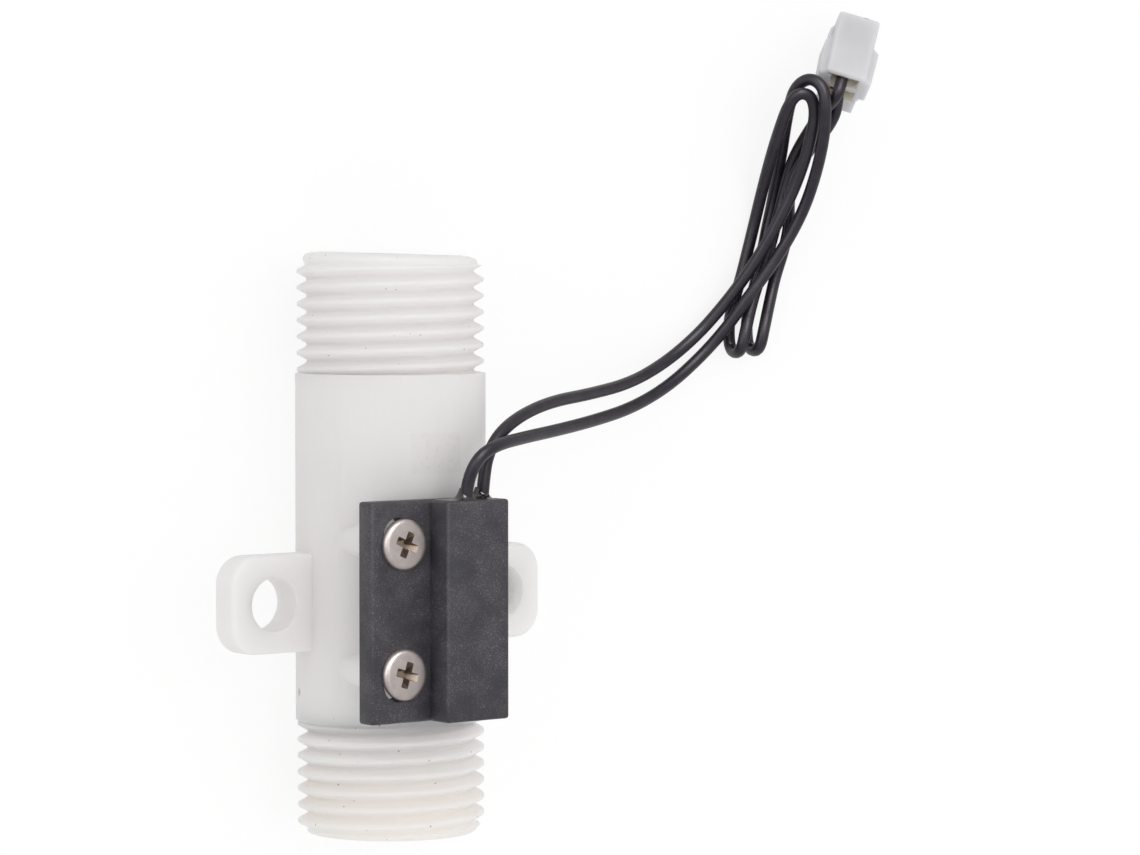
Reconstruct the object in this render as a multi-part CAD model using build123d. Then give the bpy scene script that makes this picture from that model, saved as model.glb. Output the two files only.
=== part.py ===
from build123d import *
import math
import os

# Two-wire water flow sensor with pipe threads, in millimetres.
# The pieces are made in a bench frame: the tube's axis along Y with the outlet at +Y,
# the ears along X, and the sensor block on the +Z side. They are then rolled about Y
# until the tube and one ear rest on the ground, which is how the sensor lies by itself.

os.makedirs("parts", exist_ok=True)

# Flow tube
body_radius = 10.6
body_length = 64.7
body_end_y = body_length / 2
inlet_thread_length = 12.6
outlet_thread_length = 13.5
inlet_shoulder_y = inlet_thread_length - body_end_y
outlet_shoulder_y = body_end_y - outlet_thread_length
main_bore_radius = 6.8
inlet_bore_radius = 6.8
outlet_bore_radius = 7.4

# Pipe threads, G 1/2: 14 turns to the inch. The ends carry the thread's section as rings.
thread_pitch = 25.4 / 14
thread_turns = 6
thread_major_radius = 10.4
thread_depth = 1.1
crest_width = 0.36
root_width = 0.3
outlet_last_crest_y = body_end_y - 2.68
inlet_last_crest_y = 1.68 - body_end_y
lead_radius = 9.7
lead_length = 1.35
inlet_chamfer_y = 1.15 - body_end_y
inlet_end_radius = 9.25
end_rounding = 0.4

# Fixing ears, behind the tube's middle plane
ear_reach = 21.1
ear_thickness = 3.82
ear_height = 10.8
ear_corner_radius = 3.2
ear_edge_radius = 0.6
ear_hole_radius = 3.0
ear_hole_inset = 5.4
ear_hole_reach = ear_reach - ear_hole_inset
ear_centre_y = -6.3

# Seat, piston and spring in the bore
seat_depth = 7.35
seat_face_y = seat_depth - body_end_y
seat_thickness = 2.0
seat_hole_radius = 4.4
piston_length = 12.0
piston_radius = 4.9
piston_rib_width = 1.6
piston_rib_count = 4
piston_run_clearance = 0.08
seat_flange_radius = 5.7
seat_flange_thickness = 1.0
piston_travel = 12.0
magnet_radius = 3.5
magnet_length = 7.0
magnet_floor = 2.5
magnet_clearance = 0.05
cap_flange_radius = 4.3
cap_flange_thickness = 0.8
cap_spigot_radius = 2.8
cap_spigot_length = 2.6
spring_wire_radius = 0.25
spring_mean_radius = 3.35
spring_turns = 8

# Retainer and snap ring. The spring has its closed room left when the piston has run its travel
spring_closed_room = 6.2
retainer_seat_y = (
    seat_face_y + piston_length + cap_flange_thickness + piston_travel + spring_closed_room
)
retainer_thickness = 2.0
retainer_rim_width = 1.3
retainer_clearance = 0.05
retainer_hub_radius = 4.2
retainer_hole_radius = 1.4
retainer_spoke_width = 1.4
retainer_spoke_count = 3
retainer_spigot_length = 1.4
ring_groove_depth = 0.55
ring_thickness = 0.8
ring_reach_in = 0.7
ring_gap_width = 4.0
ring_clearance = 0.05

# Sensor block: a screw plate with a thick part that holds the reed switch
block_gap = 0.05
block_seat_z = body_radius + block_gap
block_centre_y = -6.65
block_length = 24.06
block_left_x = -12.1
block_step_x = -4.29
block_right_x = 4.11
plate_thickness = 2.5
step_height = 3.25
block_edge_radius = 0.3
pocket_side_wall = 1.0
pocket_floor_wall = 1.2
pocket_front_wall = 0.8
pocket_end_wall = 1.2
potting_rise = 0.4
potting_rise_inset = 0.35

# Screws, their slots and the posts below them
screw_x = block_left_x + 4.15
screw_centre_y = block_centre_y + 0.3
screw_spacing = 14.1
screw_head_radius = 2.83
screw_head_height = 0.85
screw_rim_height = 0.3
screw_shank_radius = 1.25
screw_shank_length = 9.2
screw_tip_length = 1.6
screw_fit_clearance = 0.02
recess_width = 0.85
recess_span = 2.9
recess_depth = 0.7
recess_angle = 25
slot_x = screw_x - 0.6
slot_width = 3.8
slot_length = 5.5
slot_offset_out = 0.2
post_radius = 2.0

# Wires: where each is soldered inside the potting, in the bench frame
wire_radius = 0.7
front_wire_x = block_step_x + 3.79
front_wire_z = block_seat_z + 3.95
rear_wire_x = block_right_x - 1.81
rear_wire_z = block_seat_z + 3.05
wire_potted_length = 3.98

# Reed switch and its leads. The glass takes the room that the pocket leaves
lead_bend_room = 3.2
lead_straight = 2.0
lead_bend_radius = 0.9
lead_in_glass = 0.3
solder_gap = 0.08
solder_radius = 0.6
solder_length = 2.6
glass_radius = 1.0
glass_length = (
    block_length - pocket_end_wall - lead_bend_room - solder_gap - solder_length
    - wire_potted_length
)
glass_x = block_step_x + 2.94
glass_z = block_seat_z + 2.35
blade_width = 0.9
blade_thickness = 0.22
blade_overlap = 1.0
blade_gap = 0.1
lead_radius_wire = 0.25
return_lead_x = glass_x + 2.55
sleeve_wall = 0.3
sleeve_start = 1.2

# Route of each wire as it lies. It starts with steps from where the wire leaves the block's end,
# and goes on in the finished frame: down to the ground, up to the loop's top, down to the lower
# fold and on to the plug
front_start = [(0, -wire_potted_length, 0), (0, -0.98, 0.1), (0.1, 2.02, 0.4)]
front_route = [
    (6.2, 10.0, 25.6), (8.7, 11.3, 24.5),
    (13.1, 11.9, 20.9), (18.2, 12.4, 16.4), (24.3, 13.2, 11.4), (30.5, 14.4, 6.8), (36.2, 16.7, 3.2),
    (40.7, 20.0, 1.7), (43.6, 23.4, 2.6), (45.7, 26.8, 3.8), (48.2, 30.1, 4.1), (50.4, 33.6, 4.8),
    (52.1, 37.4, 5.8), (52.9, 41.6, 7.5), (53.0, 45.7, 9.6), (52.7, 49.0, 10.7), (52.5, 51.2, 10.4),
    (51.4, 52.3, 9.2), (50.2, 51.4, 7.7), (50.0, 49.2, 6.1), (50.1, 46.5, 4.5), (50.3, 43.7, 2.9),
    (50.3, 40.8, 1.4), (50.0, 38.1, 0.8), (49.4, 35.2, 0.7), (48.8, 32.3, 0.7), (48.1, 29.2, 0.7),
    (47.2, 26.1, 0.7), (46.7, 23.6, 0.8), (47.0, 20.8, 0.8), (47.2, 20.7, 3.9), (47.8, 23.6, 4.0),
    (49.0, 26.4, 2.5), (49.9, 29.3, 1.9), (50.8, 32.2, 2.2), (51.2, 35.2, 3.1), (50.9, 37.9, 3.7),
    (51.0, 40.3, 4.1), (51.9, 42.5, 4.9), (53.0, 44.4, 5.5), (54.1, 45.8, 6.1), (54.8, 47.0, 6.7),
    (55.2, 48.2, 7.4), (55.3, 49.5, 7.75), (55.6, 50.9, 7.3), (56.2, 52.5, 6.5),
]
rear_start = [(0, -wire_potted_length, 0), (0, -0.98, 0.1), (0.1, 1.82, 0.4)]
rear_route = [
    (8.1, 10.0, 22.8), (9.9, 12.4, 21.5),
    (13.2, 14.3, 19.2), (18.0, 15.6, 15.4), (24.0, 16.2, 10.9), (30.4, 17.2, 6.3), (35.9, 19.4, 2.9),
    (40.3, 22.5, 1.6), (43.1, 25.7, 2.2), (45.4, 28.8, 2.9), (47.5, 32.2, 3.7), (49.3, 35.9, 4.7),
    (50.8, 39.6, 5.8), (51.7, 43.4, 7.2), (52.1, 46.5, 8.3), (52.1, 48.7, 8.9), (51.3, 50.3, 9.4),
    (49.7, 50.5, 9.4), (48.9, 48.9, 8.3), (48.6, 46.6, 6.8), (48.4, 44.0, 5.0), (48.2, 41.2, 3.4),
    (48.0, 38.3, 1.9), (47.6, 35.2, 0.9), (46.9, 32.2, 0.7), (46.1, 29.2, 0.7), (45.2, 26.4, 0.7),
    (44.5, 23.7, 0.8), (44.7, 20.6, 0.8), (44.9, 20.5, 3.9), (45.5, 23.3, 4.0), (46.6, 25.7, 2.6),
    (47.4, 27.9, 2.2), (48.3, 30.4, 2.3), (49.2, 33.0, 2.2), (50.0, 35.6, 2.0), (50.6, 37.9, 2.1),
    (51.0, 40.2, 2.6), (51.4, 42.6, 3.3), (52.1, 44.6, 4.2), (52.8, 46.3, 5.3), (53.3, 47.6, 6.3),
    (53.6, 48.4, 7.5), (53.95, 49.3, 9.0), (54.35, 50.3, 10.1), (54.9, 51.5, 9.85), (55.8, 53.3, 8.7),
]

# Plug, a two-way crimp housing whose nose rests on the ground while the wires carry its rear
plug_length = 8.7
plug_height = 7.4
plug_rear_width = 6.2
plug_nose_width = 4.9
plug_foot_width = 4.4
plug_foot_length = 3.0
plug_flange_length = 4.8
plug_flange_low = -0.6
plug_pitch = 2.5
plug_cavity_centre = 0.9
plug_cavity_height = 1.9
plug_cavity_width = 3.3
plug_cavity_depth = 7.4
plug_pin_window = 1.1
plug_edge_radius = 0.3
plug_nose_radius = 0.6
plug_rib_length = 6.9
plug_rib_height = 0.35
plug_rib_width = 1.2
plug_tilt = 26.0
plug_heading = 65.0
plug_roll = -18.0
plug_rear_x = 55.6
plug_rear_y = 50.7
terminal_start = 1.0
terminal_length = 5.8
terminal_width = 1.9
terminal_height = 1.5
terminal_offset = 0.27
terminal_wall = 0.2

# How the sensor lies: the tube and the right ear's back edge both touch the ground
ear_drop_reach = ear_reach - ear_edge_radius
ear_drop_back = ear_thickness - ear_edge_radius
roll = math.degrees(
    math.asin((body_radius - ear_edge_radius) / math.hypot(ear_drop_reach, ear_drop_back))
    - math.atan2(ear_drop_back, ear_drop_reach)
)


def along_y(radius, y0, y1, x=0.0, z=0.0):
    """A round bar from y0 to y1."""
    return Pos(x, y0, z) * Rot(-90, 0, 0) * extrude(Circle(radius), y1 - y0)


def block(x0, x1, y0, y1, z0, z1):
    """A plain box between two corners."""
    return Pos((x0 + x1) / 2, (y0 + y1) / 2, (z0 + z1) / 2) * Box(x1 - x0, y1 - y0, z1 - z0)


def turned(points):
    """A solid turned about the Y axis from (radius, y) points."""
    return revolve(make_face(Polyline(*[(r, y) for r, y in points], close=True)), Axis.Y)


def crest_points(y, reach_down):
    """The (radius, y) points of one thread crest at y, from its outlet side to its inlet side."""
    flank = (thread_pitch - crest_width - root_width) / 2
    root = thread_major_radius - thread_depth
    return [
        (root, y + crest_width / 2 + flank),
        (thread_major_radius, y + crest_width / 2),
        (thread_major_radius, y - crest_width / 2),
        (root, y - crest_width / 2 - flank),
    ][:4 if reach_down else 2]


def make_tube():
    """The moulded tube: threaded ends, ears, screw posts, seat, bores and ring groove."""
    half = body_end_y
    root = thread_major_radius - thread_depth
    profile = [(0, half), (lead_radius - end_rounding, half), (lead_radius, half - end_rounding)]
    profile += [(lead_radius, half - lead_length), (root, half - lead_length)]
    for turn in range(thread_turns):
        profile += crest_points(outlet_last_crest_y - turn * thread_pitch, True)
    profile += [(root, outlet_shoulder_y), (body_radius, outlet_shoulder_y)]
    profile += [(body_radius, inlet_shoulder_y), (root, inlet_shoulder_y)]
    for turn in reversed(range(thread_turns)):
        profile += crest_points(inlet_last_crest_y + turn * thread_pitch, turn > 0)
    profile += [(thread_major_radius, inlet_chamfer_y), (inlet_end_radius, -half), (0, -half)]
    tube = turned(profile)

    ear_y0 = ear_centre_y - ear_height / 2
    ear_y1 = ear_centre_y + ear_height / 2
    ears = block(-ear_reach, ear_reach, ear_y0, ear_y1, -ear_thickness, 0)
    outer_corners = ears.edges().filter_by(Axis.Z)
    ears = fillet(outer_corners, ear_corner_radius)
    ears = fillet(ears.faces().filter_by(Axis.Z).edges(), ear_edge_radius)
    tube += ears

    for y in screw_places():
        tube += Pos(screw_x, y, block_seat_z / 2) * Cylinder(post_radius, block_seat_z)

    seat_back_y = seat_face_y - seat_thickness
    ring_y0 = retainer_seat_y + retainer_thickness
    tube -= along_y(inlet_bore_radius, -half - 1, seat_back_y)
    tube -= along_y(seat_hole_radius, seat_back_y - 1, seat_face_y + 1)
    tube -= along_y(main_bore_radius, seat_face_y, retainer_seat_y + 1)
    tube -= along_y(outlet_bore_radius, retainer_seat_y, half + 1)
    groove_radius = outlet_bore_radius + ring_groove_depth
    tube -= along_y(groove_radius, ring_y0, ring_y0 + ring_thickness + 2 * ring_clearance)
    for side in (-1, 1):
        tube -= Pos(side * ear_hole_reach, ear_centre_y, 0) * Cylinder(
            ear_hole_radius, 3 * ear_thickness
        )
    for y in screw_places():
        hole_radius = screw_shank_radius + screw_fit_clearance
        depth = screw_shank_length - plate_thickness + 0.4
        tube -= Pos(screw_x, y, block_seat_z - depth / 2) * Cylinder(hole_radius, depth)
    return tube


def screw_places():
    """Where the two screws sit along the tube, the lower one first."""
    return [screw_centre_y - screw_spacing / 2, screw_centre_y + screw_spacing / 2]


def make_piston():
    """Ribbed piston with a seat flange, open at its outlet end for the magnet."""
    y0 = seat_face_y
    y1 = y0 + piston_length
    body = along_y(piston_radius, y0, y1)
    body += along_y(seat_flange_radius, y0, y0 + seat_flange_thickness)
    rib_radius = main_bore_radius - piston_run_clearance
    guide = along_y(rib_radius, y0 + seat_flange_thickness, y1)
    for number in range(piston_rib_count):
        bar = block(0, rib_radius + 1, y0, y1, -piston_rib_width / 2, piston_rib_width / 2)
        body += guide & (Rot(0, 360 / piston_rib_count * number + 45, 0) * bar)
    return body - along_y(magnet_radius + magnet_clearance, y0 + magnet_floor, y1 + 1)


def make_magnet():
    """Round magnet at the bottom of the piston's pocket."""
    y0 = seat_face_y + magnet_floor
    return along_y(magnet_radius, y0, y0 + magnet_length)


def make_cap():
    """Closes the magnet's pocket and carries the spring's end on its spigot."""
    y_magnet = seat_face_y + magnet_floor + magnet_length
    y_top = seat_face_y + piston_length
    cap = along_y(magnet_radius, y_magnet, y_top)
    cap += along_y(cap_flange_radius, y_top, y_top + cap_flange_thickness)
    spigot_y0 = y_top + cap_flange_thickness
    return cap + along_y(cap_spigot_radius, spigot_y0, spigot_y0 + cap_spigot_length)


def make_spring():
    """Return spring between the piston's cap and the retainer, as it stands at rest."""
    y0 = seat_face_y + piston_length + cap_flange_thickness + spring_wire_radius
    y1 = retainer_seat_y - spring_wire_radius
    pitch = (y1 - y0) / spring_turns
    path = Helix(pitch, y1 - y0, spring_mean_radius)
    section = Plane(origin=path @ 0, z_dir=path % 0) * Circle(spring_wire_radius)
    coil = sweep(section, path, is_frenet=True)
    return Pos(0, y0, 0) * Rot(-90, 0, 0) * coil


def make_retainer():
    """Spoked ring on the bore's shoulder, with a hub that the spring pushes against."""
    y0 = retainer_seat_y
    y1 = y0 + retainer_thickness
    outer = outlet_bore_radius - retainer_clearance
    ring = along_y(outer, y0, y1) - along_y(outer - retainer_rim_width, y0 - 1, y1 + 1)
    hub = along_y(retainer_hub_radius, y0, y1)
    hub += along_y(cap_spigot_radius, y0 - retainer_spigot_length, y0)
    disc = along_y(outer - retainer_rim_width / 2, y0, y1)
    for number in range(retainer_spoke_count):
        bar = block(0, outer, y0, y1, -retainer_spoke_width / 2, retainer_spoke_width / 2)
        ring += disc & (Rot(0, 360 / retainer_spoke_count * number, 0) * bar)
    ring += hub
    return ring - along_y(retainer_hole_radius, y0 - retainer_spigot_length - 1, y1 + 1)


def make_ring():
    """Open snap ring in the tube's groove."""
    y0 = retainer_seat_y + retainer_thickness + ring_clearance
    y1 = y0 + ring_thickness
    outer = outlet_bore_radius + ring_groove_depth - ring_clearance
    ring = along_y(outer, y0, y1) - along_y(outlet_bore_radius - ring_reach_in, y0 - 1, y1 + 1)
    gap = ring_gap_width / 2
    return ring - block(0, outer + 1, y0 - 1, y1 + 1, -gap, gap)


def block_ends():
    """The block's lowest and highest place along the tube."""
    return block_centre_y - block_length / 2, block_centre_y + block_length / 2


def pocket():
    """The pocket for the reed switch, open at the block's outlet end."""
    y0, y1 = block_ends()
    return (
        block_step_x + pocket_side_wall, block_right_x - pocket_side_wall,
        y0 + pocket_end_wall, y1,
        block_seat_z + pocket_floor_wall,
        block_seat_z + plate_thickness + step_height - pocket_front_wall,
    )


def make_block():
    """Black block: slotted screw plate and the thick part with its pocket."""
    y0, y1 = block_ends()
    z1 = block_seat_z + plate_thickness
    housing = block(block_left_x, block_right_x, y0, y1, block_seat_z, z1)
    housing += block(block_step_x, block_right_x, y0, y1, z1, z1 + step_height)
    housing = fillet(housing.edges().filter_by(Axis.Y), block_edge_radius)
    x_in, x_out, p0, p1, q0, q1 = pocket()
    housing -= block(x_in, x_out, p0, p1 + 1, q0, q1)
    for side, y in zip((-1, 1), screw_places(), strict=True):
        slot = extrude(SlotOverall(slot_length, slot_width), 4 * plate_thickness)
        place = Pos(slot_x, y + side * slot_offset_out, block_seat_z - plate_thickness)
        housing -= place * Rot(0, 0, 90) * slot
    return housing


def make_screw(y):
    """Pan head screw with a cross recess, seated on the plate."""
    z_seat = block_seat_z + plate_thickness
    dome = Pos(screw_x, y, z_seat) * Cylinder(
        screw_head_radius, screw_head_height, align=(Align.CENTER, Align.CENTER, Align.MIN)
    )
    dome = fillet(dome.edges().group_by(Axis.Z)[-1], screw_head_height - screw_rim_height)
    shank = Pos(screw_x, y, z_seat) * Cylinder(
        screw_shank_radius, screw_shank_length - screw_tip_length,
        align=(Align.CENTER, Align.CENTER, Align.MAX),
    )
    tip = Pos(screw_x, y, z_seat - screw_shank_length + screw_tip_length) * Cone(
        0.3, screw_shank_radius, screw_tip_length,
        align=(Align.CENTER, Align.CENTER, Align.MAX),
    )
    screw = dome + shank + tip
    for angle in (recess_angle, recess_angle + 90):
        arm = Box(recess_span, recess_width, 2 * recess_depth)
        screw -= Pos(screw_x, y, z_seat + screw_head_height) * Rot(0, 0, angle) * arm
    return screw


def reed_ends():
    """Ends of the reed switch's glass along the tube."""
    y0 = block_ends()[0] + pocket_end_wall + lead_bend_room
    return y0, y0 + glass_length


def make_reed_parts():
    """Glass, two blades with their leads, the sleeve on the returned lead and the solder."""
    y0, y1 = reed_ends()
    middle = (y0 + y1) / 2
    half_gap = blade_gap / 2 + blade_thickness / 2
    blades = {}
    for name, end, sign in (("reed_blade_lower", y0, -1), ("reed_blade_upper", y1, 1)):
        tip = middle - sign * blade_overlap
        z = glass_z + sign * half_gap
        flat = block(
            glass_x - blade_width / 2, glass_x + blade_width / 2,
            min(tip, end), max(tip, end), z - blade_thickness / 2, z + blade_thickness / 2,
        )
        blades[name] = flat
    solder_y0 = block_ends()[1] - wire_potted_length - solder_length
    upper_end = solder_y0 + solder_length / 2
    blades["reed_blade_upper"] += along_y(
        lead_radius_wire, y1 - lead_in_glass, upper_end, glass_x, glass_z + half_gap
    )
    turn_y = y0 - lead_straight
    bend = FilletPolyline(
        (glass_x, y0 + lead_in_glass, glass_z - half_gap),
        (glass_x, turn_y, glass_z - half_gap),
        (return_lead_x, turn_y, glass_z - half_gap),
        (return_lead_x, upper_end, glass_z - half_gap),
        radius=lead_bend_radius,
    )
    section = Plane(origin=bend @ 0, z_dir=bend % 0) * Circle(lead_radius_wire)
    blades["reed_blade_lower"] += sweep(section, bend)
    envelope = along_y(glass_radius, y0, y1, glass_x, glass_z)
    envelope = fillet(envelope.edges(), glass_radius * 0.8)
    glass = envelope - blades["reed_blade_lower"] - blades["reed_blade_upper"]
    sleeve = along_y(
        lead_radius_wire + sleeve_wall, turn_y + sleeve_start, solder_y0 - 0.2,
        return_lead_x, glass_z - half_gap,
    ) - blades["reed_blade_lower"]
    joints = {}
    for name, lead_x, lead_z, wire_x, wire_z in (
        ("solder_joint_front", glass_x, glass_z + half_gap, front_wire_x, front_wire_z),
        ("solder_joint_rear", return_lead_x, glass_z - half_gap, rear_wire_x, rear_wire_z),
    ):
        bead = along_y(solder_radius, solder_y0, solder_y0 + solder_length, lead_x, lead_z)
        foot = along_y(
            wire_radius * 0.6, solder_y0 + 0.4, solder_y0 + solder_length, wire_x, wire_z
        )
        reach = math.hypot(wire_x - lead_x, wire_z - lead_z)
        web_angle = math.degrees(math.atan2(wire_z - lead_z, wire_x - lead_x))
        web = Box(reach, solder_length - 1.2, 0.6)
        web = Pos((lead_x + wire_x) / 2, solder_y0 + 1.2, (lead_z + wire_z) / 2) * Rot(
            0, -web_angle, 0
        ) * web
        joints[name] = (bead + foot + web) - blades["reed_blade_upper"] - blades["reed_blade_lower"]
    return {"reed_glass": glass, "lead_sleeve": sleeve, **blades, **joints}


def make_potting():
    """Epoxy that fills the pocket and stands slightly proud at its open end."""
    x_in, x_out, p0, p1, q0, q1 = pocket()
    fill = block(x_in, x_out, p0, p1, q0, q1)
    inset = potting_rise_inset
    rise = block(x_in + inset, x_out - inset, p1, p1 + potting_rise, q0 + inset, q1 - inset)
    return fill + rise


def plug_place():
    """Where the plug's rear face is: its own X runs to the nose, its own Z is up."""
    turn = Rot(0, 0, plug_heading) * Rot(0, plug_tilt, 0) * Rot(plug_roll, 0, 0)
    corners = [
        turn * Pos(plug_length, side * plug_nose_width / 2, -plug_height / 2) for side in (-1, 1)
    ]
    lowest = min(corner.position.Z for corner in corners)
    return Pos(plug_rear_x, plug_rear_y, -lowest) * turn


def make_plug(wires):
    """Plug housing and its two contacts, in the plug's own frame and then put in place."""
    half_height = plug_height / 2
    nose = block(
        plug_foot_length, plug_length, -plug_nose_width / 2, plug_nose_width / 2,
        -half_height, half_height,
    )
    nose = fillet(nose.edges().filter_by(Axis.Z).group_by(Axis.X)[-1], plug_nose_radius)
    foot = block(
        0, plug_foot_length + 1, -plug_foot_width / 2, plug_foot_width / 2,
        -half_height, half_height,
    )
    flange = block(
        0, plug_flange_length, -plug_rear_width / 2, plug_rear_width / 2,
        plug_flange_low, half_height,
    )
    flange = fillet(flange.edges().filter_by(Axis.X), plug_edge_radius)
    rib_middle = plug_pitch / 2
    rib = block(
        plug_flange_length - 1, plug_rib_length,
        plug_nose_width / 2 - 0.3, plug_nose_width / 2 + plug_rib_height,
        rib_middle - plug_rib_width / 2, rib_middle + plug_rib_width / 2,
    )
    housing = nose + foot + flange + rib
    place = plug_place()
    pieces = {}
    levels = {"front": plug_cavity_centre - plug_pitch / 2, "rear": plug_cavity_centre + plug_pitch / 2}
    for name, z in levels.items():
        tall = plug_cavity_height / 2
        wide = plug_cavity_width / 2
        housing -= block(-1, plug_cavity_depth, -wide, wide, z - tall, z + tall)
        pin = plug_pin_window / 2
        housing -= block(0, plug_length + 1, -pin, pin, z - pin, z + pin)
        x1 = terminal_start + terminal_length
        y_middle = terminal_offset
        z0 = z - tall
        contact = block(
            terminal_start, x1, y_middle - terminal_width / 2, y_middle + terminal_width / 2,
            z0, z0 + terminal_height,
        )
        contact -= block(
            terminal_start - 1, x1 + 1,
            y_middle - terminal_width / 2 + terminal_wall, y_middle + terminal_width / 2 - terminal_wall,
            z0 + terminal_wall, z0 + terminal_height + 1,
        )
        pieces["terminal_" + name] = place * contact - wires["wire_" + name]
    pieces["plug_housing"] = place * housing
    return pieces


def make_wire(exit_place, start, rest):
    """Insulated wire: straight runs joined by tangent arcs."""
    points = [exit_place.position + Vector(*step) for step in start]
    points += [Vector(*point) for point in rest]
    radii = []
    for before, corner, after in zip(points, points[1:], points[2:], strict=False):
        turn = math.radians((corner - before).get_angle(after - corner))
        shorter = min((corner - before).length, (after - corner).length)
        radii.append(0.45 * shorter / math.tan(turn / 2))
    path = FilletPolyline(*points, radius=radii)
    section = Plane(origin=path @ 0, z_dir=path % 0) * Circle(wire_radius)
    wire = sweep(section, path)
    print("wire length", round(path.length, 2), "smallest radius", round(min(radii), 2))
    print("volume", round(wire.volume, 2), "section x length", round(section.area * path.length, 2))
    return wire


def main():
    tube = make_tube()
    bench = {
        "flow_body": tube,
        "piston": make_piston(),
        "piston_magnet": make_magnet(),
        "piston_cap": make_cap(),
        "return_spring": make_spring(),
        "spring_retainer": make_retainer(),
        "retaining_ring": make_ring(),
        "sensor_housing": make_block(),
        **make_reed_parts(),
    }
    lower_y, upper_y = screw_places()
    bench["screw_lower"] = make_screw(lower_y)
    bench["screw_upper"] = make_screw(upper_y)
    rolled = Rot(0, roll, 0) * tube
    box = rolled.bounding_box()
    lay = Pos(-(box.min.X + box.max.X) / 2, 0, body_radius) * Rot(0, roll, 0)
    pieces = {name: lay * solid for name, solid in bench.items()}
    print("roll", round(roll, 3), "shift x", round(-(box.min.X + box.max.X) / 2, 3))
    block_end_y = block_ends()[1]
    front_exit = lay * Pos(front_wire_x, block_end_y, front_wire_z)
    rear_exit = lay * Pos(rear_wire_x, block_end_y, rear_wire_z)
    wires = {
        "wire_front": make_wire(front_exit, front_start, front_route),
        "wire_rear": make_wire(rear_exit, rear_start, rear_route),
    }
    inside = [pieces[n] for n in pieces if n.startswith(("reed", "lead", "solder"))]
    potting = lay * make_potting()
    for solid in inside + list(wires.values()):
        potting -= solid
    pieces["potting_compound"] = potting
    pieces.update(wires)
    pieces.update(make_plug(wires))
    print("cord radii: wire_front", wire_radius, "wire_rear", wire_radius)
    for name, solid in pieces.items():
        export_step(solid, f"parts/{name}.step")
        print(name, len(solid.solids()), round(solid.volume, 2))


main()
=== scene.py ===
# %% [markdown]
# # A water flow sensor, dressed in Blender
# The real thing is a white moulded pipe piece with a thread at each end. A black block screwed to
# its side holds a reed switch, two thin black wires leave the block, and a small white plug ends them.
# The solid model is loaded first and stays as it is. Everything below is built round it, in metres.

# %% Load the frame
import math

import bmesh
import bpy
from mathutils import Matrix, Vector


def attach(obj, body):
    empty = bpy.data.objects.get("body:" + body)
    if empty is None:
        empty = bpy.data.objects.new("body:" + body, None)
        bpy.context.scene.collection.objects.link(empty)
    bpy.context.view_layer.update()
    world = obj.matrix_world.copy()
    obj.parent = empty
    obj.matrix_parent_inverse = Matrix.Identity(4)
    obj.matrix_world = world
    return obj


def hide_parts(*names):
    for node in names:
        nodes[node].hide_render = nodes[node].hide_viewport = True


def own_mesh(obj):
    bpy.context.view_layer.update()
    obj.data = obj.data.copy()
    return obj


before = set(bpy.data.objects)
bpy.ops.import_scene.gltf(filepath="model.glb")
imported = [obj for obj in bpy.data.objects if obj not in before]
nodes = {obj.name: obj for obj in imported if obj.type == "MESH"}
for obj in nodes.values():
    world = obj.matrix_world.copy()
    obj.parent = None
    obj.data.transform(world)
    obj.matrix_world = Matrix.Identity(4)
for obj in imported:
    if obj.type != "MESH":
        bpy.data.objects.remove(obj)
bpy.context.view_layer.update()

MM = 0.001


def metres(place):
    """A place in millimetres, turned into metres."""
    return [number * MM for number in place]


# %% [markdown]
# ## The camera
# The picture looks down on the sensor from about half a metre, from its upper left, through a long
# lens. A long lens keeps the tube's sides nearly parallel. The three directions below are the
# camera's right, up and back, and together they make its rotation.

# %% Camera
camera_right = Vector((0.9482, 0.0, 0.3176))
camera_up = Vector((0.0134, 0.9991, -0.0401))
camera_back = Vector((-0.3173, 0.0422, 0.9474))
camera_place = Vector((-133.11, 33.05, 472.94)) * MM

camera_data = bpy.data.cameras.new("studio_camera")
camera_data.sensor_width = 36.0
camera_data.lens = 136.44
camera_data.clip_start = 0.01
camera_data.clip_end = 20.0
camera = bpy.data.objects.new("studio_camera", camera_data)
bpy.context.scene.collection.objects.link(camera)
turn = Matrix((camera_right, camera_up, camera_back)).transposed().to_4x4()
camera.matrix_world = Matrix.Translation(camera_place) @ turn
bpy.context.scene.camera = camera
print("camera", round(camera_place.length, 3), "m from the sensor's middle")

# %% [markdown]
# ## The two wires
# Each wire is 1.4 mm thick with a soft sleeve. It leaves the block's end, comes down to the ground,
# climbs over its partner in a narrow loop, folds at the loop's foot and runs on into the plug.
# A NURBS curve is the right tool, because its line stays smooth between a few placed points, and a
# round bevel gives it its thickness. The order is set after the points exist, or it would fall back
# to straight runs.

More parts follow.
